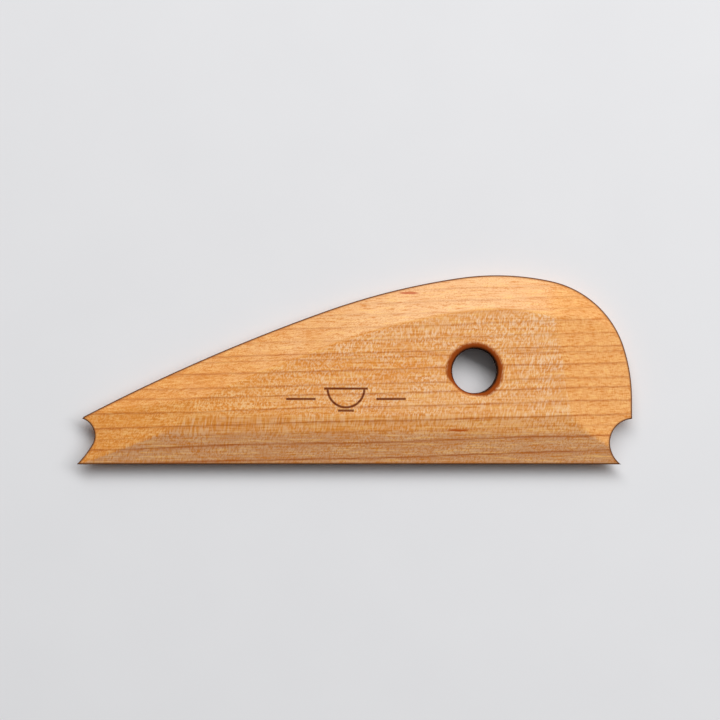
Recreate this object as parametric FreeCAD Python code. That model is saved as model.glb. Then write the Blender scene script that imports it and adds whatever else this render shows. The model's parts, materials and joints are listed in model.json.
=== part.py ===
"""Potter's profile rib: one blade of quartersawn maple for shaping and trimming clay.

The blade lies flat. +X runs along its straight working edge, +Y from that edge to the arched
back, and +Z up through its thickness. The origin is under the middle of its bounding box.
Everything is in millimetres.
"""

import FreeCAD, Part
import math
import os

V = FreeCAD.Vector

# Driving dimensions of the blade.
LENGTH = 139.7                    # 5-1/2 in, from the lower left tip to the right end
THICKNESS = 7.94                  # 5/16 in board
EDGE_THICKNESS = 1.3              # what the bevels leave all round
STRAIGHT_EDGE = 136.9             # the working edge, tip to tip

# Right end: it stands straight above the notch, then turns into the arched back.
RIGHT_TIP_Y = 11.5
RIGHT_STRAIGHT = 4.75
# The arched back, from the right end over the top to the left tip: each arc's radius and the
# angle it turns through, every arc tangent to the one before.
BACK_ARCS = [
    (43.18, 17.84),
    (24.74, 59.76),
    (63.98, 20.60),
    (175.83, 11.36),
    (478.43, 8.01),
]

# Notches: a small arc and a wider one that is tangent to it, in each end.
RIGHT_NOTCH = dict(x=140.01, y=5.47, small=5.96, wide=7.28, meet=195.0)
LEFT_NOTCH = dict(x=0.06, y=7.24, small=4.45, wide=26.82, meet=-31.3)

# Bevels, the same on both faces. Each is given as where it leaves the flat and, on the long
# edge, where its slope changes.
LONG_BEVEL = 12.0
LONG_BEVEL_BREAK = 7.9            # the outer facet is steeper up to here
LONG_BREAK_DROP = 0.8             # how far the break lies under the flat
BACK_BEVEL = 8.4
RIGHT_BEVEL = 15.0
RIGHT_BEVEL_TURN = 9.0            # degrees that the right bevel faces up towards the back
LEFT_BEVEL = 25.0
LEFT_BEVEL_TURN = 14.0            # degrees that the left bevel faces up towards the back

# Finger and hanging hole.
HOLE_X = 100.0
HOLE_Y = 23.5
HOLE_RADIUS = 5.6
HOLE_ROUNDOVER = 1.3

# Cutters reach this far past the blade on every side.
REACH = 6.0

FLAT = THICKNESS / 2
EDGE = EDGE_THICKNESS / 2


def polar(angle):
    """Unit vector at an angle in degrees from +X."""
    return V(math.cos(math.radians(angle)), math.sin(math.radians(angle)), 0)


def tangent_arc(start, heading, radius, turn):
    """Arc that leaves start along heading and turns left; gives the edge, end and heading."""
    centre = start + polar(heading + 90) * radius
    middle = centre + polar(heading - 90 + turn / 2) * radius
    end = centre + polar(heading - 90 + turn) * radius
    return Part.Arc(start, middle, end).toShape(), end, heading + turn


def back_edges():
    """Right end and arched back, as edges from the right tip to the left tip."""
    start = V(LENGTH, RIGHT_TIP_Y, 0)
    point = start + V(0, RIGHT_STRAIGHT, 0)
    edges = [Part.makeLine(start, point)]
    heading = 90.0
    for radius, turn in BACK_ARCS:
        edge, point, heading = tangent_arc(point, heading, radius, turn)
        edges.append(edge)
    return edges, point, heading


def notch_edges(notch, upper, lower):
    """The two tangent arcs of a notch, from its upper tip to its lower tip."""
    centre = V(notch["x"], notch["y"], 0)
    away = polar(notch["meet"])
    wide_centre = centre - away * (notch["wide"] - notch["small"])
    meeting = centre + away * notch["small"]
    arcs = []
    for start, end, middle_of, radius in (
        (upper, meeting, centre, notch["small"]),
        (meeting, lower, wide_centre, notch["wide"]),
    ):
        halfway = (start + end) * 0.5 - middle_of
        arcs.append(Part.Arc(start, middle_of + halfway.normalize() * radius, end).toShape())
    return arcs


def blank():
    """The sawn board: the outline at full thickness, centred on z = 0."""
    edges, left_tip, _ = back_edges()
    right_tip = V(LENGTH, RIGHT_TIP_Y, 0)
    lower_left = V(0, 0, 0)
    lower_right = V(STRAIGHT_EDGE, 0, 0)
    edges += notch_edges(LEFT_NOTCH, left_tip, lower_left)
    edges.append(Part.makeLine(lower_left, lower_right))
    edges += notch_edges(RIGHT_NOTCH, right_tip, lower_right)
    wire = Part.Wire(Part.__sortEdges__(edges))
    board = Part.Face(wire).extrude(V(0, 0, THICKNESS))
    board.translate(V(0, 0, -FLAT))
    return board


def bevel_profile(points, at, inward):
    """Upright face above a bevel: points are (distance in from the edge, height)."""
    corners = [at + inward * distance + V(0, 0, height) for distance, height in points]
    return Part.Face(Part.makePolygon(corners + corners[:1]))


def wedge(points, at, inward, along, length):
    """Straight cutter whose section is a bevel profile."""
    return bevel_profile(points, at, inward).extrude(along * length)


def slope_points(width):
    """Section above a plain bevel that rises from the thin edge to the flat."""
    rise = (FLAT - EDGE) / width
    return [
        (-REACH, EDGE - rise * REACH),
        (width + REACH, FLAT + rise * REACH),
        (-REACH, FLAT + rise * REACH),
    ]


def long_bevel():
    """Cutter for the working edge, in two facets."""
    break_height = FLAT - LONG_BREAK_DROP
    outer = (break_height - EDGE) / LONG_BEVEL_BREAK
    inner = LONG_BREAK_DROP / (LONG_BEVEL - LONG_BEVEL_BREAK)
    top = FLAT + inner * REACH
    points = [
        (-REACH, EDGE - outer * REACH),
        (LONG_BEVEL_BREAK, break_height),
        (LONG_BEVEL + REACH, top),
        (-REACH, top),
    ]
    return wedge(points, V(-REACH, 0, 0), V(0, 1, 0), V(1, 0, 0), LENGTH + 2 * REACH)


def back_bevel():
    """Cutter swept along the right end and the arched back, run on past both tips."""
    edges, left_tip, heading = back_edges()
    start = V(LENGTH, -REACH, 0)
    run_in = Part.makeLine(start, V(LENGTH, RIGHT_TIP_Y, 0))
    run_out = Part.makeLine(left_tip, left_tip + polar(heading) * REACH * 2)
    path = Part.Wire([run_in] + edges + [run_out])
    profile = bevel_profile(slope_points(BACK_BEVEL), start, V(-1, 0, 0))
    return path.makePipeShell([profile.OuterWire], True, True)


def end_bevel(at, width, facing):
    """Plane cutter for an end: it faces along an angle and starts from a point of the edge."""
    out = polar(facing)
    along = polar(facing + 90)
    return wedge(slope_points(width), at - along * LENGTH, out * -1, along, LENGTH * 2)


def hole():
    return Part.makeCylinder(HOLE_RADIUS, THICKNESS + 2, V(HOLE_X, HOLE_Y, -FLAT - 1))


def round_hole_rims(blade):
    """Round over the two rims of the hole, one on each face."""
    rims = []
    for edge in blade.Edges:
        circle = isinstance(edge.Curve, Part.Circle) and edge.isClosed()
        if circle and abs(edge.Curve.Radius - HOLE_RADIUS) < 1e-6:
            rims.append(edge)
    return blade.makeFillet(HOLE_ROUNDOVER, rims)


def profile_rib():
    cutters = [
        long_bevel(),
        back_bevel(),
        end_bevel(V(LENGTH, RIGHT_TIP_Y, 0), RIGHT_BEVEL, RIGHT_BEVEL_TURN),
        end_bevel(V(0, 0, 0), LEFT_BEVEL, 180 - LEFT_BEVEL_TURN),
    ]
    blade = blank().cut(hole())
    for cutter in cutters:
        blade = blade.cut(cutter)
        blade = blade.cut(cutter.mirror(V(0, 0, 0), V(0, 0, 1)))
    return round_hole_rims(blade)


def place(blade):
    """Move the blade so that the origin is under the middle of its bounding box."""
    box = blade.optimalBoundingBox(False)
    blade.translate(V(-box.Center.x, -box.Center.y, -box.ZMin))
    return blade


os.makedirs("parts", exist_ok=True)
rib = place(profile_rib())
size = rib.optimalBoundingBox(False)
print("solids", len(rib.Solids), "valid", rib.isValid(), "volume", round(rib.Volume, 1))
print("box", [round(v, 3) for v in (size.XLength, size.YLength, size.ZLength)])
rib.exportStep("parts/profile_rib.step")
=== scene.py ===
"""Looks of the potter's profile rib: a blade of quartersawn maple on a pale floor.

The blade is one closed mesh. Its outline, bevels, hole and notches are worked out in
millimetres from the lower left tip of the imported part's box, and the mesh stands in metres in
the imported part's own frame. The wood is one procedural material in the blade's own axes.
"""

import json
import math

import bpy
import numpy as np
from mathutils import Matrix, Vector, geometry, noise


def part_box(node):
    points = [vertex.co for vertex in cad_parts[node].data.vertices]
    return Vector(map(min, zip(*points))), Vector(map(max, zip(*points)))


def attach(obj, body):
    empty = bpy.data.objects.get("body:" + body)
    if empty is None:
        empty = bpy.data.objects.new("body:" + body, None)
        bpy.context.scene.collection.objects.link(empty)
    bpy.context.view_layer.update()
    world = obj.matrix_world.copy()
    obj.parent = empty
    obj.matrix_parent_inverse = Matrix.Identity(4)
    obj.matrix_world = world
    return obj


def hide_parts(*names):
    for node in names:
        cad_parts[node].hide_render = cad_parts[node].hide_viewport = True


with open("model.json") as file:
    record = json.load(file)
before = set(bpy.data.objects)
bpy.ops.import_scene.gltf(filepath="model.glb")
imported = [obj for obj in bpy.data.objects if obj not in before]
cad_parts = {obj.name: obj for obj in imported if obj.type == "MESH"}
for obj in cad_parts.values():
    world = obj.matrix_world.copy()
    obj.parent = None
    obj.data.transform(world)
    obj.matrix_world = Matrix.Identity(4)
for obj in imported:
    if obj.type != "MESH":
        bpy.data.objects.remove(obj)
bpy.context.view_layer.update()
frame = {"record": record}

MM = 0.001
NODE = "profile_rib"

# ---------------------------------------------------------------- dimensions, in millimetres

box_low, box_high = (np.array(corner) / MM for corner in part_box(NODE))
LENGTH = box_high[0] - box_low[0]
THICKNESS = box_high[2] - box_low[2]
MID_HEIGHT = (box_low[2] + box_high[2]) / 2
CORNER = box_low[:2]                       # the lower left tip, where x and y start
HOLE = next(m for m in frame["record"]["mounts"] if m["name"] == "hang_hole")
HOLE_CENTRE = np.array(HOLE["pos_m"][:2]) / MM - CORNER
HOLE_RADIUS = HOLE["dims"]["r_mm"]
HOLE_ROUNDOVER = (THICKNESS - HOLE["dims"]["length_mm"]) / 2

STRAIGHT_EDGE = 136.9                      # the working edge, tip to tip
RIGHT_TIP_Y = 11.5
RIGHT_STRAIGHT = 4.75
# The arched back from the right end to the left tip: radius and turn in degrees, all tangent.
BACK_ARCS = [(43.18, 17.84), (24.74, 59.76), (63.98, 20.60), (175.83, 11.36), (478.43, 8.01)]
# Each notch is a small arc and a wider one, tangent where the angle "meet" points.
RIGHT_NOTCH = dict(x=140.01, y=5.47, small=5.96, wide=7.28, meet=195.0)
LEFT_NOTCH = dict(x=0.06, y=7.24, small=4.45, wide=26.82, meet=-31.3)

FLAT = THICKNESS / 2                       # half thickness of the flat
EDGE = 0.65                                # half thickness that the bevels leave at the edge
ARRIS = 0.24                               # radius of the softened arris all round
LONG_OUTER = (7.9, FLAT - 0.8)             # working edge bevel: the break's distance and height
LONG_BEVEL = 12.0
BACK_BEVEL = 8.4
RIGHT_BEVEL, RIGHT_FACING = 15.0, 9.0      # width, and degrees from +X that it faces
LEFT_BEVEL, LEFT_FACING = 25.0, 166.0
PAST_END = 12.0                            # the back's bevel runs on this far past the tips

# Hand sanding of each face: the size and depth of its unevenness, and the rounding of the
# crease where it meets the faces before it.
SANDED = [
    (9, 0.03, 0.16),                       # inner facet of the working edge
    (11, 0.03, 0.20),                      # its outer facet
    (8, 0.04, 0.16),                       # left end
    (7, 0.05, 0.22),                       # right end
    (6, 0.05, 0.16),                       # arched back
]
SEED_STEP = 5.0
UPPER_SEED, LOWER_SEED = 0.0, 40.0

# Mesh density.
OUTLINE_STEP = 0.30
FACE_STEP = 0.46
LATTICE_GAP = FACE_STEP * 0.6              # the lattice stays this far from the rings
SHARP_ANGLE = 50                           # degrees above which an edge is shaded sharp
ARRIS_RINGS = (0.04, 0.11, 0.24, 0.48)     # distances in from the edge
HOLE_POINTS = 132
ROUNDOVER_RINGS = 9
WALL_ROWS = 4
HOLE_WALL_ROWS = 10


# ---------------------------------------------------------------- outline

def polar(degrees):
    return np.array([math.cos(math.radians(degrees)), math.sin(math.radians(degrees))])


class Line:
    """Straight stretch of the outline."""

    def __init__(self, start, end):
        self.start = np.array(start, float)
        self.end = np.array(end, float)
        self.length = np.linalg.norm(self.end - self.start)

    def points(self, step):
        count = max(2, round(self.length / step))
        share = np.linspace(0, 1, count, endpoint=False)[:, None]
        return self.start + (self.end - self.start) * share

    def distance(self, points):
        along = (self.end - self.start) / self.length
        reach = np.clip((points - self.start) @ along, 0, self.length)
        return np.linalg.norm(points - self.start - reach[:, None] * along, axis=1)


class Arc:
    """Round stretch: from angle start it turns through turn degrees, left if positive."""

    def __init__(self, centre, radius, start, turn):
        self.centre = np.array(centre, float)
        self.radius = radius
        self.first = start
        self.turn = turn
        self.start = self.centre + polar(start) * radius
        self.end = self.centre + polar(start + turn) * radius
        self.length = radius * math.radians(abs(turn))

    def points(self, step):
        count = max(2, round(self.length / step))
        angles = np.radians(self.first + self.turn * np.arange(count) / count)
        return self.centre + np.column_stack([np.cos(angles), np.sin(angles)]) * self.radius

    def distance(self, points):
        away = points - self.centre
        angle = np.degrees(np.arctan2(away[:, 1], away[:, 0])) - self.first
        turned = np.mod(angle if self.turn > 0 else -angle, 360)
        nearest = np.abs(np.linalg.norm(away, axis=1) - self.radius)
        to_ends = np.minimum(
            np.linalg.norm(points - self.start, axis=1),
            np.linalg.norm(points - self.end, axis=1),
        )
        return np.where(turned <= abs(self.turn), nearest, to_ends)


def arched_back():
    """Right end and arched back, from the right tip to the left tip, and the last heading."""
    start = np.array([LENGTH, RIGHT_TIP_Y])
    point = start + (0, RIGHT_STRAIGHT)
    stretches = [Line(start, point)]
    heading = 90.0
    for radius, turn in BACK_ARCS:
        arc = Arc(point + polar(heading + 90) * radius, radius, heading - 90, turn)
        stretches.append(arc)
        point = arc.end
        heading += turn
    return stretches, heading


def angle_of(vector):
    return math.degrees(math.atan2(vector[1], vector[0]))


def notch(shape, upper, lower):
    """The two arcs of a notch, from its upper tip to its lower tip."""
    centre = np.array([shape["x"], shape["y"]])
    away = polar(shape["meet"])
    meeting = centre + away * shape["small"]
    wide_centre = centre - away * (shape["wide"] - shape["small"])
    arcs = []
    for start, end, middle, radius in (
        (upper, meeting, centre, shape["small"]),
        (meeting, lower, wide_centre, shape["wide"]),
    ):
        first = angle_of(start - middle)
        turn = (angle_of(end - middle) - first + 180) % 360 - 180
        arcs.append(Arc(middle, radius, first, turn))
    return arcs


def backwards(arcs):
    return [Arc(a.centre, a.radius, a.first + a.turn, -a.turn) for a in reversed(arcs)]


BACK, LAST_HEADING = arched_back()
LEFT_TIP = BACK[-1].end
LEFT_ARCS = notch(LEFT_NOTCH, LEFT_TIP, np.array([0.0, 0.0]))
RIGHT_ARCS = notch(RIGHT_NOTCH, BACK[0].start, np.array([STRAIGHT_EDGE, 0.0]))
OUTLINE = BACK + LEFT_ARCS + [Line((0, 0), (STRAIGHT_EDGE, 0))] + backwards(RIGHT_ARCS)
BACK_RUN = (
    [Line((LENGTH, RIGHT_TIP_Y - PAST_END), (LENGTH, RIGHT_TIP_Y))]
    + BACK
    + [Line(LEFT_TIP, LEFT_TIP + polar(LAST_HEADING) * PAST_END)]
)


def distance_to(stretches, points):
    return np.min([stretch.distance(points) for stretch in stretches], axis=0)


def inside(loop, points):
    """True where a point lies inside a closed polygon, by counting crossings."""
    result = np.zeros(len(points), bool)
    ends = np.roll(loop, -1, axis=0)
    for (x0, y0), (x1, y1) in zip(loop, ends):
        if y0 == y1:
            continue
        spans = (points[:, 1] < y0) != (points[:, 1] < y1)
        crossing = x0 + (points[:, 1] - y0) * (x1 - x0) / (y1 - y0)
        result ^= spans & (points[:, 0] < crossing)
    return result


# ---------------------------------------------------------------- height of the sanded faces

def soft_min(a, b, radius):
    """Smaller of two heights, with the crease between them rounded."""
    near = np.clip(radius - np.abs(a - b), 0, None) / radius
    return np.minimum(a, b) - near * near * radius / 4


def waver(points, size, amount, seed):
    """Slow unevenness left by hand sanding, between 0 and -2 * amount."""
    values = [noise.noise(Vector((x / size, y / size, seed))) for x, y in points]
    return amount * (np.array(values) - 1)


def end_plane(points, corner, width, facing):
    """Plane bevel of an end, rising from the thin edge at a corner of the outline."""
    inward = (np.array(corner) - points) @ polar(facing)
    return EDGE + inward * (FLAT - EDGE) / width


def face_height(points, seed):
    """Half thickness of the blade at points of its face, in front of the arris."""
    y = points[:, 1]
    break_at, break_height = LONG_OUTER
    outer = EDGE + y * (break_height - EDGE) / break_at
    inner = FLAT - (LONG_BEVEL - y) * (FLAT - break_height) / (LONG_BEVEL - break_at)
    back = EDGE + distance_to(BACK_RUN, points) * (FLAT - EDGE) / BACK_BEVEL
    right = end_plane(points, (LENGTH, RIGHT_TIP_Y), RIGHT_BEVEL, RIGHT_FACING)
    left = end_plane(points, (0, 0), LEFT_BEVEL, LEFT_FACING)

    height = np.full(len(points), FLAT)
    for face, (size, depth, crease) in zip((inner, outer, left, right, back), SANDED):
        height = soft_min(height, face + waver(points, size, depth, seed), crease)
        seed += SEED_STEP

    from_hole = np.linalg.norm(points - HOLE_CENTRE, axis=1) - HOLE_RADIUS
    left_over = np.clip(1 - from_hole / HOLE_ROUNDOVER, 0, 1)
    rim = FLAT - HOLE_ROUNDOVER * (1 - np.sqrt(1 - left_over ** 2))
    return np.minimum(height, rim)


def arris_drop(distance):
    """How much lower the softened arris leaves the face near the edge."""
    left_over = np.clip(1 - distance / ARRIS, 0, 1)
    return ARRIS * (1 - np.sqrt(1 - left_over ** 2))


# ---------------------------------------------------------------- mesh of the blade

def outline_loop():
    return np.vstack([stretch.points(OUTLINE_STEP) for stretch in OUTLINE])


def inset(loop, distance):
    """Points a distance inside the outline, without those that a corner brings too near."""
    before = np.roll(loop, 1, axis=0)
    after = np.roll(loop, -1, axis=0)
    along = (after - before) / np.linalg.norm(after - before, axis=1)[:, None]
    moved = loop + np.column_stack([-along[:, 1], along[:, 0]]) * distance
    return moved[distance_to(OUTLINE, moved) > distance * 0.97]


def ring(radius, turned):
    angles = (np.arange(HOLE_POINTS) + turned) * 2 * np.pi / HOLE_POINTS
    return HOLE_CENTRE + np.column_stack([np.cos(angles), np.sin(angles)]) * radius


def rim_rings():
    """Rings on the rounded rim of the hole, evenly spaced round its quarter circle."""
    rings = []
    for index in range(1, ROUNDOVER_RINGS + 1):
        angle = math.radians(90 * index / ROUNDOVER_RINGS)
        rings.append(ring(HOLE_RADIUS + HOLE_ROUNDOVER * (1 - math.cos(angle)), index / 2))
    return rings


def lattice(loop):
    """Even triangular lattice over the face, clear of the outline's and the hole's rings."""
    row_step = FACE_STEP * math.sqrt(3) / 2
    rows = np.arange(0, box_high[1] - box_low[1], row_step)
    points = []
    for index, y in enumerate(rows):
        x = np.arange(index % 2 * FACE_STEP / 2, LENGTH, FACE_STEP)
        points.append(np.column_stack([x, np.full(len(x), y)]))
    points = np.vstack(points)
    points = points[inside(loop, points)]
    points = points[distance_to(OUTLINE, points) > ARRIS_RINGS[-1] + LATTICE_GAP]
    from_hole = np.linalg.norm(points - HOLE_CENTRE, axis=1) - HOLE_RADIUS
    return points[from_hole > HOLE_ROUNDOVER + LATTICE_GAP]


def triangulate(loop, hole_loop, others):
    """Points and triangles of one face, inside the outline and outside the hole."""
    points = np.vstack([loop, hole_loop, others])
    n, m = len(loop), len(hole_loop)
    edges = [(i, (i + 1) % n) for i in range(n)]
    edges += [(n + i, n + (i + 1) % m) for i in range(m)]
    vectors = [Vector(p) for p in points]
    found, _, faces, originals, _, _ = geometry.delaunay_2d_cdt(vectors, edges, [], 0, 1e-7)
    order = np.array([source[0] for source in originals])
    triangles = order[np.array(faces)]
    middles = points[triangles].mean(axis=1)
    keep = inside(loop, middles) & ~inside(hole_loop, middles)
    keep &= ~(triangles < n).all(axis=1) | (distance_to(OUTLINE, middles) > 1e-4)
    return points, triangles[keep]


def wall(upper, lower, rows, make):
    """Quads between two loops of vertices, with rows - 1 loops of new ones between them."""
    loops = [upper]
    for row in range(1, rows):
        loops.append(make(row / rows))
    loops.append(lower)
    quads = []
    for above, below in zip(loops, loops[1:]):
        count = len(above)
        for i in range(count):
            j = (i + 1) % count
            quads.append((above[i], below[i], below[j], above[j]))
    return quads


def blade_mesh():
    loop = outline_loop()
    hole_loop = ring(HOLE_RADIUS, 0)
    others = [inset(loop, distance) for distance in ARRIS_RINGS]
    others += rim_rings()
    others.append(lattice(loop))
    points, triangles = triangulate(loop, hole_loop, np.vstack(others))
    edge_distance = distance_to(OUTLINE, points)
    edge_distance[:len(loop)] = 0
    drop = arris_drop(edge_distance)
    upper = face_height(points, UPPER_SEED) - drop
    lower = -(face_height(points, LOWER_SEED) - drop)

    vertices = [np.column_stack([points, upper]), np.column_stack([points, lower])]
    total = 2 * len(points)

    def loop_maker(first, count):
        top = vertices[0][first:first + count]
        bottom = vertices[1][first:first + count]

        def make(share):
            nonlocal total
            vertices.append(top + (bottom - top) * share)
            total += count
            return range(total - count, total)
        return make

    n, m, p = len(loop), len(hole_loop), len(points)
    faces = [tuple(t) for t in triangles]
    faces += [tuple(t[::-1] + p) for t in triangles]
    faces += wall(range(n), range(p, p + n), WALL_ROWS, loop_maker(0, n))
    hole_quads = wall(range(n, n + m), range(p + n, p + n + m), HOLE_WALL_ROWS,
                      loop_maker(n, m))
    faces += [quad[::-1] for quad in hole_quads]

    corners = np.vstack(vertices)
    corners[:, :2] += CORNER
    corners[:, 2] += MID_HEIGHT
    mesh = bpy.data.meshes.new("maple_blade")
    mesh.from_pydata((corners * MM).tolist(), [], [list(map(int, f)) for f in faces])
    mesh.validate()
    mesh.shade_smooth()
    mesh.set_sharp_from_angle(angle=math.radians(SHARP_ANGLE))
    store_distances(mesh)
    return mesh


def store_distances(mesh):
    """Distance of each vertex from the sawn edge and from the hole's wall, in millimetres."""
    places = np.zeros(len(mesh.vertices) * 3, np.float32)
    mesh.vertices.foreach_get("co", places)
    flat = places.reshape(-1, 3)[:, :2] / MM - CORNER
    from_edge = distance_to(OUTLINE, flat)
    from_hole = np.linalg.norm(flat - HOLE_CENTRE, axis=1) - HOLE_RADIUS
    for name, values in (("from_edge", from_edge), ("from_hole", from_hole)):
        attribute = mesh.attributes.new(name, "FLOAT", "POINT")
        attribute.data.foreach_set("value", np.clip(values, 0, 50).astype(np.float32))


def add_blade(material):
    blade = bpy.data.objects.new("maple_blade", blade_mesh())
    bpy.context.scene.collection.objects.link(blade)
    blade.data.materials.append(material)
    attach(blade, "root")
    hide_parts(NODE)
    return blade


# ---------------------------------------------------------------- materials

class Tree:
    """Short way to lay down shader nodes: every method gives the new node's output."""

    def __init__(self, name):
        self.material = bpy.data.materials.new(name)
        self.material.use_nodes = True
        self.nodes = self.material.node_tree.nodes
        self.links = self.material.node_tree.links
        self.shader = self.nodes["Principled BSDF"]

    def node(self, kind, inputs=(), **settings):
        made = self.nodes.new(kind)
        for name, value in settings.items():
            setattr(made, name, value)
        for name, value in dict(inputs).items():
            self.feed(made.inputs[name], value)
        return made

    def feed(self, socket, value):
        if isinstance(value, bpy.types.NodeSocket):
            self.links.new(value, socket)
        else:
            socket.default_value = value

    def math(self, operation, *values, clamp=False):
        made = self.nodes.new("ShaderNodeMath")
        made.operation = operation
        made.use_clamp = clamp
        for socket, value in zip(made.inputs, values):
            self.feed(socket, value)
        return made.outputs[0]

    def vector(self, operation, *values):
        made = self.nodes.new("ShaderNodeVectorMath")
        made.operation = operation
        for socket, value in zip(made.inputs, values):
            self.feed(socket, value)
        return made.outputs[0]

    def scaled(self, vector, factors):
        return self.vector("MULTIPLY", vector, factors)

    def split(self, vector):
        return self.node("ShaderNodeSeparateXYZ", {"Vector": vector}).outputs

    def noise(self, vector, scale=1.0, detail=2.0, roughness=0.5):
        inputs = {"Vector": vector, "Scale": scale, "Detail": detail, "Roughness": roughness}
        return self.node("ShaderNodeTexNoise", inputs).outputs["Fac"]

    def band(self, value, low, high, out_low=0.0, out_high=1.0):
        """Value mapped smoothly from low..high to out_low..out_high, and held outside."""
        inputs = {"Value": value, "From Min": low, "From Max": high,
                  "To Min": out_low, "To Max": out_high}
        made = self.node("ShaderNodeMapRange", inputs, interpolation_type="SMOOTHSTEP")
        return made.outputs["Result"]

    def mix(self, share, a, b, blend="MIX"):
        made = self.nodes.new("ShaderNodeMix")
        made.data_type = "RGBA"
        made.blend_type = blend
        self.feed(made.inputs[0], share)
        self.feed(made.inputs[6], a)
        self.feed(made.inputs[7], b)
        return made.outputs[2]

    def ramp(self, value, stops):
        """Straight-line ramp through pairs of place and level, both from 0 to 1."""
        made = self.nodes.new("ShaderNodeValToRGB")
        elements = made.color_ramp.elements
        while len(elements) < len(stops):
            elements.new(0.5)
        for element, (place, level) in zip(elements, stops):
            element.position = place
            element.color = (level, level, level, 1)
        self.feed(made.inputs[0], value)
        return made.outputs[0]

    def attribute(self, name):
        return self.node("ShaderNodeAttribute", attribute_name=name).outputs["Fac"]


# Colours of the wood, of the shade and highlight painted on its bevels, and of what the laser
# did to it.
WOOD_WARM = (0.78, 0.290, 0.045, 1)
WOOD_PALE = (0.81, 0.375, 0.115, 1)
# darker, greyer colour painted on the working edge's bevels, which face away from the light:
# painted shade
WOOD_PAINTED_SHADE = (0.61, 0.305, 0.150, 1)
# paler colour painted where the softbox's highlight falls on the back's bevel: painted highlight
WOOD_PAINTED_HIGHLIGHT = (0.84, 0.56, 0.31, 1)
WOOD_DARK = (0.64, 0.205, 0.018, 1)
WOOD_LIGHT = (0.90, 0.49, 0.150, 1)
RAY_SILVER = (0.93, 0.65, 0.41, 1)
RAY_GOLD = (0.93, 0.58, 0.25, 1)
RING_BROWN = (0.40, 0.082, 0.002, 1)
STREAK_ORANGE = (0.50, 0.095, 0.003, 1)
MARK_BROWN = (0.150, 0.022, 0.001, 1)
SCORCH_TAN = (0.42, 0.14, 0.035, 1)
SCORCH_RED = (0.30, 0.052, 0.002, 1)
CHAR = (0.018, 0.006, 0.003, 1)
EDGE_CHAR = (0.105, 0.032, 0.010, 1)
WOOD_GLOSS = (1.0, 0.90, 0.78, 1)
WOOD_SHEEN = 0.30
PAPER_DARK = (0.770, 0.772, 0.790, 1)
PAPER_LIGHT = (0.800, 0.802, 0.818, 1)
PAPER_MOTTLE = 40                # scale of the paper's mottle
RIM_LIT_SIDE = 245.0            # degrees from +X towards the side of the hole's rim that faces the light, where the scorch is painted lighter: painted highlight
LIT_SIDE_FROM, LIT_SIDE_TO = 3.6, 6.0      # how far that way from the hole's middle it fades
LIT_SIDE_DEPTH = 0.95
HOLE_BURN_END = 0.62             # where the hole's char ends, in millimetres from its wall
HOLE_TAN = (1.05, 2.10)          # where its reddish scorch starts to fade, and where it ends

# Noise patterns of the wood, as cycles per millimetre along x, y and z.
SLOW_WANDER = (0.018, 0.09, 0.05)      # long waves in the rings
QUICK_WANDER = (0.30, 0.5, 0.4)        # their small raggedness
RING_FADE = (0.12, 0.5, 0.4)           # where the lines are fainter
BROAD_TONE = (0.012, 0.28, 0.2)        # bands of slightly different wood
FIBRES = (0.14, 2.6, 2.6)
RAY_WANDER = (0.06, 0.08, 0.08)
RAY_PATCHES = (0.10, 0.35, 0.2)        # where the flecks are strong
STRIATIONS = (2.6, 2.6, 0.12)          # fine upright lines that the beam leaves on the walls
BUMP_STRENGTH, BUMP_HEIGHT = 0.3, 0.00006

# Growth rings that stand out: distance across the rings in millimetres from the blade's
# origin, and strength.
RINGS = [
    (-22.1, 1.00), (-18.2, 1.00), (-15.5, 0.35), (-12.9, 0.85), (-9.3, 0.75), (-5.9, 0.70),
    (-3.6, 0.60), (-0.1, 0.75), (2.8, 0.50), (4.2, 0.70), (7.6, 0.45), (10.9, 0.50),
    (13.9, 0.35), (16.7, 0.40), (19.6, 0.35),
]
PALER_TO_RIGHT = 0.003           # how the broad tone shifts per millimetre towards +X
RING_SPAN = 26.0                 # the ramps cover this much to each side of the origin
RING_RISE = 0.0306               # the rings climb this much per millimetre towards +X
LATEWOOD, LATEWOOD_TONE = 1.5, 0.16    # width and strength of the darker wood before a line
LINE_RISE, LINE_FALL = 0.34, 0.28      # how the line itself comes and goes

# Rays: thin ribbons of cells that run across the rings, nearly in the plane of the flat.
RAY_TALL, RAY_LONG, RAY_THICK = 0.42, 3.6, 0.105
RAY_LEAN = 0.140                 # how much they rise per millimetre towards the arched back
RAY_TWIST = 0.0011               # how much less that is per millimetre towards the broad end
RAY_SLANT = 0.16                 # how much they move towards +X per millimetre on their way

# Short dark streaks in the wood: centre and half length, in millimetres from the origin.
STREAKS = [((13.7, 19.3), 3.0), ((26.1, -15.2), 3.2)]
STREAK_HALF_WIDTH = 0.36

# Burnt mark: a bowl on its foot between two plain rules, in millimetres from its own middle.
MARK = (-2.1, -7.3)
MARK_STROKE = 0.29               # half the width of its lines
MARK_RULE = (7.6, 15.0)          # where each rule starts and ends
MARK_BOWL = (4.6, 4.7)           # half width and depth
MARK_RIM_Y, MARK_FOOT_Y = 2.6, -2.9
MARK_RIM, MARK_FOOT = 5.5, 2.0   # half lengths


def ring_stops(rings):
    stops = []
    for place, strength in rings:
        stops.append((place - LATEWOOD, 0.0))
        stops.append((place - LINE_RISE, strength * LATEWOOD_TONE))
        stops.append((place, strength))
        stops.append((place + LINE_FALL, 0.0))
    return [((place + RING_SPAN) / (2 * RING_SPAN), level) for place, level in stops]


def ring_lines(tree, across):
    """Dark lines of the growth rings, from 0 to 1."""
    share = tree.math("MULTIPLY_ADD", across, 1 / (2 * RING_SPAN), 0.5)
    half = len(RINGS) // 2
    lower = tree.ramp(share, ring_stops(RINGS[:half]))
    upper = tree.ramp(share, ring_stops(RINGS[half:]))
    return tree.math("ADD", lower, upper, clamp=True)


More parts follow.
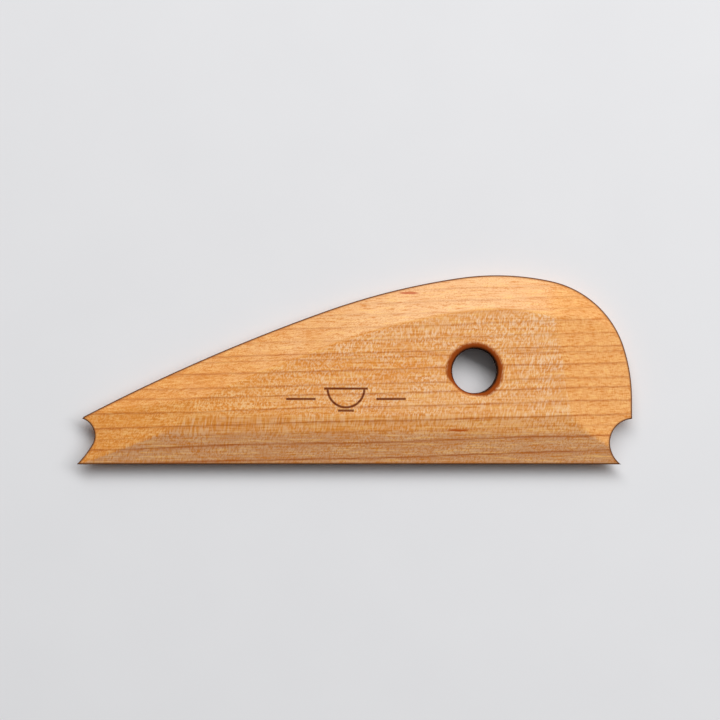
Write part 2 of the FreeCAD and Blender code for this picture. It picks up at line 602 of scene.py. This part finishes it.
def streaks(tree, x, y, warp):
    """Long spots with ragged ends, from 0 to 1."""
    total = 0.0
    for (middle_x, middle_y), half_length in STREAKS:
        along = tree.math("MULTIPLY_ADD", x, 1 / half_length, -middle_x / half_length)
        up = tree.math("ADD", tree.math("SUBTRACT", y, middle_y), warp)
        up = tree.math("MULTIPLY", up, 1 / STREAK_HALF_WIDTH)
        size = tree.math("ADD", tree.math("POWER", along, 2.0), tree.math("POWER", up, 2.0))
        total = tree.math("ADD", tree.band(size, 0.25, 1.0, 1.0, 0.0), total, clamp=True)
    return total


def stroke(tree, distance):
    """1 where a distance is less than the mark's stroke, softened at the edge."""
    away = tree.math("ABSOLUTE", distance)
    return tree.band(away, MARK_STROKE * 0.6, MARK_STROKE * 1.4, 1.0, 0.0)


def burnt_mark(tree, x, y):
    """The bowl between its rules, from 0 to 1."""
    aside = tree.math("ABSOLUTE", tree.math("SUBTRACT", x, MARK[0]))
    up = tree.math("SUBTRACT", y, MARK[1])
    start, end = MARK_RULE
    rule = tree.math("SUBTRACT", aside, (start + end) / 2)
    rule = tree.math("SUBTRACT", tree.math("ABSOLUTE", rule), (end - start) / 2)
    parts = [tree.math("MULTIPLY", stroke(tree, up), tree.band(rule, -0.1, 0.1, 1.0, 0.0))]
    for height, half_length in ((MARK_RIM_Y, MARK_RIM), (MARK_FOOT_Y, MARK_FOOT)):
        line = stroke(tree, tree.math("SUBTRACT", up, height))
        ends = tree.band(aside, half_length - 0.1, half_length + 0.1, 1.0, 0.0)
        parts.append(tree.math("MULTIPLY", line, ends))
    half_width, depth = MARK_BOWL
    below = tree.math("SUBTRACT", up, MARK_RIM_Y)
    wide = tree.math("POWER", tree.math("MULTIPLY", aside, 1 / half_width), 2.0)
    deep = tree.math("POWER", tree.math("MULTIPLY", below, 1 / depth), 2.0)
    curve = tree.math("SUBTRACT", tree.math("SQRT", tree.math("ADD", wide, deep)), 1.0)
    curve = stroke(tree, tree.math("MULTIPLY", curve, depth))
    parts.append(tree.math("MULTIPLY", curve, tree.band(below, -0.1, 0.1, 1.0, 0.0)))
    mark = parts[0]
    for part in parts[1:]:
        mark = tree.math("MAXIMUM", mark, part)
    return mark


class Surface:
    """A point of the wood: its place in millimetres, which way its face looks, its grain."""

    def __init__(self, tree):
        coordinates = tree.node("ShaderNodeTexCoord")
        self.place = tree.vector("SCALE", coordinates.outputs["Object"])
        self.place.node.inputs["Scale"].default_value = 1 / MM
        self.x, self.y, self.z = tree.split(self.place)
        normal = coordinates.outputs["Normal"]
        self.facing_right, self.facing_back, self.facing_up = tree.split(normal)
        self.level = tree.math("ABSOLUTE", self.facing_up)
        self.flatness = tree.band(self.level, 0.9905, 0.9985)
        self.upper_face = tree.band(self.facing_up, 0.2, 0.6)
        self.working_edge = tree.band(self.facing_back, -0.20, -0.28, 0.0, 0.80)
        self.quick = tree.noise(tree.scaled(self.place, QUICK_WANDER), detail=3)
        self.fibre = tree.noise(tree.scaled(self.place, FIBRES), detail=3, roughness=0.65)
        self.rays = ray_pattern(tree, self)


def ray_pattern(tree, at):
    """Noise squeezed into ribbons that lie nearly in the flat and cross the rings."""
    lean = tree.noise(tree.scaled(at.place, RAY_WANDER), detail=1)
    rise = tree.math("MULTIPLY", at.y, tree.math("MULTIPLY_ADD", at.x, -RAY_TWIST, RAY_LEAN))
    tilted = tree.math("SUBTRACT", at.z, rise)
    tilted = tree.math("ADD", tilted, tree.math("MULTIPLY_ADD", lean, 0.8, -0.4))
    slanted = tree.math("MULTIPLY_ADD", at.y, -RAY_SLANT, at.x)
    inputs = {"X": slanted, "Y": at.y, "Z": tilted}
    ray_place = tree.node("ShaderNodeCombineXYZ", inputs).outputs[0]
    ray_place = tree.scaled(ray_place, (1 / RAY_TALL, 1 / RAY_LONG, 1 / RAY_THICK))
    return tree.noise(ray_place, detail=2, roughness=0.6)


def growth_rings(tree, at):
    """Lines of planes that climb towards +X and wander a little, from 0 to 1."""
    slow = tree.noise(tree.scaled(at.place, SLOW_WANDER), detail=2)
    across = tree.math("MULTIPLY_ADD", at.x, -RING_RISE, at.y)
    across = tree.math("ADD", across, tree.math("MULTIPLY_ADD", slow, 1.6, -0.8))
    across = tree.math("ADD", across, tree.math("MULTIPLY_ADD", at.quick, 0.5, -0.25))
    fade = tree.noise(tree.scaled(at.place, RING_FADE), detail=3)
    lines = ring_lines(tree, across)
    return tree.math("MULTIPLY", lines, tree.band(fade, 0.36, 0.56, 0.65, 1.0))


def plain_wood(tree, at):
    """Broad tone, painted shade on the working edge's bevels, a painted highlight on the back's
    bevel and the long thin fibres.
    """
    tone = tree.noise(tree.scaled(at.place, BROAD_TONE), detail=3, roughness=0.6)
    tone = tree.math("MULTIPLY_ADD", at.x, PALER_TO_RIGHT, tone)
    base = tree.mix(tree.band(tone, 0.3, 0.7), WOOD_WARM, WOOD_PALE)
    # Darker, greyer colour on the working edge's bevels, which face away from the light: painted
    # shade.
    base = tree.mix(at.working_edge, base, WOOD_PAINTED_SHADE)
    # Paler colour on the back's bevel near the top of the arch, where the softbox's highlight
    # falls: painted highlight.
    back_bevel = tree.band(at.facing_back, 0.20, 0.32)
    top_of_arch = tree.math("MULTIPLY", tree.band(at.facing_right, -0.16, -0.10, 0.15, 1.0),
                            tree.band(at.facing_right, 0.02, 0.12, 0.46, 0.0))
    base = tree.mix(tree.math("MULTIPLY", back_bevel, top_of_arch), base, WOOD_PAINTED_HIGHLIGHT)
    base = tree.mix(tree.band(at.fibre, 0.50, 0.66, 0, 0.95), base, WOOD_DARK)
    return tree.mix(tree.band(at.fibre, 0.48, 0.35, 0, 0.85), base, WOOD_LIGHT)


def add_flecks(tree, at, base):
    """Rays, seen as pale and dark flecks where the face cuts them; the pale ones are drawn
    stronger and greyer on the flat, partly a painted sheen.
    """
    patchy = tree.noise(tree.scaled(at.place, RAY_PATCHES), detail=2)
    strength = tree.band(patchy, 0.30, 0.65, 0.50, 0.95)
    # Pale flecks stronger and greyer on the flat and weaker on the right end's bevel: partly the
    # rays' own figure, partly painted sheen.
    end_facing = tree.band(at.facing_right, 0.10, 0.19, 1.0, 0.55)
    strength = tree.math("MULTIPLY", strength, end_facing)
    light = tree.math("MULTIPLY", tree.band(at.rays, 0.42, 0.66), strength)
    light = tree.math("MULTIPLY", light, tree.band(at.flatness, 0, 1, 0.50, 0.82))
    # Fewer pale flecks on the working edge's bevels, which face away from the light: painted
    # shade.
    shade_dimmed = tree.math("MULTIPLY", at.working_edge, light)
    light = tree.math("MULTIPLY_ADD", shade_dimmed, -0.35, light)
    silvery = tree.math("MULTIPLY", at.flatness, tree.band(at.x, -45, 5))
    silvery = tree.math("MAXIMUM", silvery, tree.band(at.facing_back, -0.10, -0.16))
    base = tree.mix(light, base, tree.mix(silvery, RAY_GOLD, RAY_SILVER))
    dark = tree.math("MULTIPLY", tree.band(at.rays, 0.50, 0.32), strength)
    dark = tree.math("MULTIPLY", dark, tree.band(at.flatness, 0, 1, 0.80, 0.52))
    return tree.mix(dark, base, WOOD_DARK)


def add_streaks(tree, at, base):
    warp = tree.math("MULTIPLY_ADD", at.quick, 0.8, -0.4)
    share = tree.math("MULTIPLY", streaks(tree, at.x, at.y, warp), at.upper_face)
    return tree.mix(share, base, STREAK_ORANGE)


def add_mark(tree, at, base):
    """The burnt mark on the upper face: gives the colour and the mark itself."""
    mark = tree.math("MULTIPLY", burnt_mark(tree, at.x, at.y), at.upper_face)
    burn_depth = tree.band(at.fibre, 0.3, 0.7, 0.88, 1.0)
    return tree.mix(tree.math("MULTIPLY", mark, burn_depth), base, MARK_BROWN), mark


def scorch_edge(tree, base):
    """Scorch beside the sawn edge: gives the colour and where it is burnt."""
    from_edge = tree.attribute("from_edge")
    base = tree.mix(tree.band(from_edge, 0.15, 0.75, 0.75, 0.0), base, SCORCH_TAN)
    burnt = tree.band(from_edge, 0.08, 0.45, 1.0, 0.0)
    return tree.mix(burnt, base, EDGE_CHAR), burnt


def scorch_hole(tree, at, base):
    """Scorch round the hole, uneven, and painted lighter on the side of its rim that faces the
    light, which is a painted highlight: gives the colour and its extent.
    """
    hole_x, hole_y = HOLE_CENTRE + CORNER
    # The scorch is drawn lighter on the side of the rim that faces the light: painted highlight.
    lit_side_x, lit_side_y = polar(RIM_LIT_SIDE)
    offset = -hole_x * lit_side_x - hole_y * lit_side_y
    aside = tree.math("MULTIPLY_ADD", at.x, lit_side_x, offset)
    aside = tree.math("MULTIPLY_ADD", at.y, lit_side_y, aside)
    lit_side = tree.band(aside, LIT_SIDE_FROM, LIT_SIDE_TO, 0.0, LIT_SIDE_DEPTH)
    uneven = tree.math("ADD", tree.attribute("from_hole"), lit_side)
    uneven = tree.math("ADD", uneven, tree.math("MULTIPLY_ADD", at.rays, 0.8, -0.4))
    tanned = tree.band(uneven, *HOLE_TAN, 1.0, 0.0)
    base = tree.mix(tanned, base, SCORCH_RED)
    burnt = tree.band(uneven, 0.0, HOLE_BURN_END, 1.0, 0.0)
    return tree.mix(burnt, base, CHAR), tanned


def char_walls(tree, at, base):
    """The walls that the laser cut, dark with fine upright striations."""
    striations = tree.noise(tree.scaled(at.place, STRIATIONS), detail=2)
    wall_tone = tree.mix(tree.band(striations, 0.35, 0.65), CHAR, EDGE_CHAR)
    return tree.mix(tree.band(at.level, 0.20, 0.55, 1.0, 0.0), base, wall_tone)


def wood_roughness(tree, at, scorched):
    """Satin wood, glossier where the back's slope runs along the fibres, dull where scorched."""
    sideways = tree.band(tree.math("ABSOLUTE", at.facing_right), 0.06, 0.17, 1.0, 0.0)
    burnished = tree.math("MULTIPLY", sideways, tree.band(at.facing_back, 0.26, 0.36))
    rough = tree.math("MULTIPLY_ADD", at.fibre, 0.16, 0.50)
    rough = tree.math("MULTIPLY_ADD", burnished, -0.32, rough)
    return tree.math("MAXIMUM", rough, scorched)


def wood_bump(tree, at, mark):
    """Fine relief of the fibres and rays, with the mark sunk into it."""
    height = tree.math("MULTIPLY_ADD", at.fibre, -0.6, tree.math("MULTIPLY", at.rays, 0.5))
    height = tree.math("MULTIPLY_ADD", mark, -0.8, height)
    inputs = {"Strength": BUMP_STRENGTH, "Distance": BUMP_HEIGHT, "Height": height}
    return tree.node("ShaderNodeBump", inputs).outputs[0]


def maple():
    tree = Tree("maple")
    at = Surface(tree)
    base = add_flecks(tree, at, plain_wood(tree, at))
    base = tree.mix(growth_rings(tree, at), base, RING_BROWN)
    base, mark = add_mark(tree, at, add_streaks(tree, at, base))
    base, edge_burnt = scorch_edge(tree, base)
    base, hole_tanned = scorch_hole(tree, at, base)
    base = char_walls(tree, at, base)
    scorched = tree.math("MAXIMUM", tree.math("MAXIMUM", hole_tanned, edge_burnt), mark)
    tree.feed(tree.shader.inputs["Base Color"], base)
    tree.feed(tree.shader.inputs["Roughness"], wood_roughness(tree, at, scorched))
    tree.feed(tree.shader.inputs["Normal"], wood_bump(tree, at, mark))
    tree.shader.inputs["Specular IOR Level"].default_value = WOOD_SHEEN
    tree.shader.inputs["Specular Tint"].default_value = WOOD_GLOSS
    return tree.material


def floor_paper():
    tree = Tree("floor_paper")
    place = tree.node("ShaderNodeTexCoord").outputs["Object"]
    mottle = tree.noise(place, scale=PAPER_MOTTLE, detail=3)
    tree.feed(tree.shader.inputs["Base Color"], tree.mix(mottle, PAPER_DARK, PAPER_LIGHT))
    tree.shader.inputs["Roughness"].default_value = 0.9
    tree.shader.inputs["Specular IOR Level"].default_value = 0.1
    return tree.material


# ---------------------------------------------------------------- stage, light and camera

FLOOR_SIZE = 6.0
FLOOR_GAP = 0.00002              # so that floor and blade don't share a plane
CAMERA_HEIGHT = 0.9              # above the blade's mid height
CAMERA_AIM = (0.00141, 0.00247)  # the view's centre on the floor
VIEW_WIDTH = 0.18117             # what the view spans at the blade's mid height
SENSOR = 36.0

LIGHT_AZIMUTH = 29.0             # degrees from +Y towards +X
LIGHT_ELEVATION = 54.5
LIGHT_DISTANCE = 1.4
LIGHT_HALF_WIDTH = 41.5          # degrees that the softbox spans to each side
LIGHT_HALF_HEIGHT = 12.0
LIGHT_POWER = 26.4
# Soft light from the whole side that the softbox stands on, and a little from all round.
SCRIM = 0.54
SCRIM_ELEVATION = 60.0
SCRIM_FOCUS = 3.0
AMBIENT = 0.015


def direction(azimuth, elevation):
    """Unit vector, with the azimuth in degrees from +Y towards +X."""
    azimuth, elevation = math.radians(azimuth), math.radians(elevation)
    level = math.cos(elevation)
    return Vector((math.sin(azimuth) * level, math.cos(azimuth) * level, math.sin(elevation)))


def add_floor():
    half = FLOOR_SIZE / 2
    low = -FLOOR_GAP
    corners = [(-half, -half, low), (half, -half, low), (half, half, low), (-half, half, low)]
    mesh = bpy.data.meshes.new("floor")
    mesh.from_pydata(corners, [], [(0, 1, 2, 3)])
    mesh.materials.append(floor_paper())
    floor = bpy.data.objects.new("floor", mesh)
    bpy.context.scene.collection.objects.link(floor)


def add_softbox():
    lamp = bpy.data.lights.new("softbox", "AREA")
    lamp.shape = "RECTANGLE"
    lamp.size = 2 * LIGHT_DISTANCE * math.tan(math.radians(LIGHT_HALF_WIDTH))
    lamp.size_y = 2 * LIGHT_DISTANCE * math.tan(math.radians(LIGHT_HALF_HEIGHT))
    lamp.energy = LIGHT_POWER
    softbox = bpy.data.objects.new("softbox", lamp)
    away = direction(LIGHT_AZIMUTH, LIGHT_ELEVATION)
    softbox.location = away * LIGHT_DISTANCE
    softbox.rotation_euler = away.to_track_quat("Z", "Y").to_euler()
    softbox.visible_camera = False
    bpy.context.scene.collection.objects.link(softbox)


def add_world():
    world = bpy.data.worlds.new("studio")
    world.use_nodes = True
    nodes, links = world.node_tree.nodes, world.node_tree.links
    background = nodes["Background"]
    background.inputs["Color"].default_value = (1.0, 1.0, 1.0, 1)
    towards = nodes.new("ShaderNodeVectorMath")
    towards.operation = "DOT_PRODUCT"
    towards.inputs[1].default_value = direction(LIGHT_AZIMUTH, SCRIM_ELEVATION)
    links.new(nodes.new("ShaderNodeTexCoord").outputs["Generated"], towards.inputs[0])
    value = towards.outputs["Value"]
    for operation, operands in (
        ("MAXIMUM", (0.0,)),
        ("POWER", (SCRIM_FOCUS,)),
        ("MULTIPLY_ADD", (SCRIM, AMBIENT)),
    ):
        made = nodes.new("ShaderNodeMath")
        made.operation = operation
        links.new(value, made.inputs[0])
        for socket, operand in zip(made.inputs[1:], operands):
            socket.default_value = operand
        value = made.outputs[0]
    links.new(value, background.inputs["Strength"])
    bpy.context.scene.world = world


def add_camera():
    data = bpy.data.cameras.new("camera")
    data.sensor_width = SENSOR
    data.lens = SENSOR * CAMERA_HEIGHT / VIEW_WIDTH
    camera = bpy.data.objects.new("camera", data)
    camera.location = (*CAMERA_AIM, CAMERA_HEIGHT + MID_HEIGHT * MM)
    bpy.context.scene.collection.objects.link(camera)
    bpy.context.scene.camera = camera


add_camera()
add_world()
add_softbox()
add_floor()
add_blade(maple())
bpy.context.scene.view_settings.view_transform = "Standard"
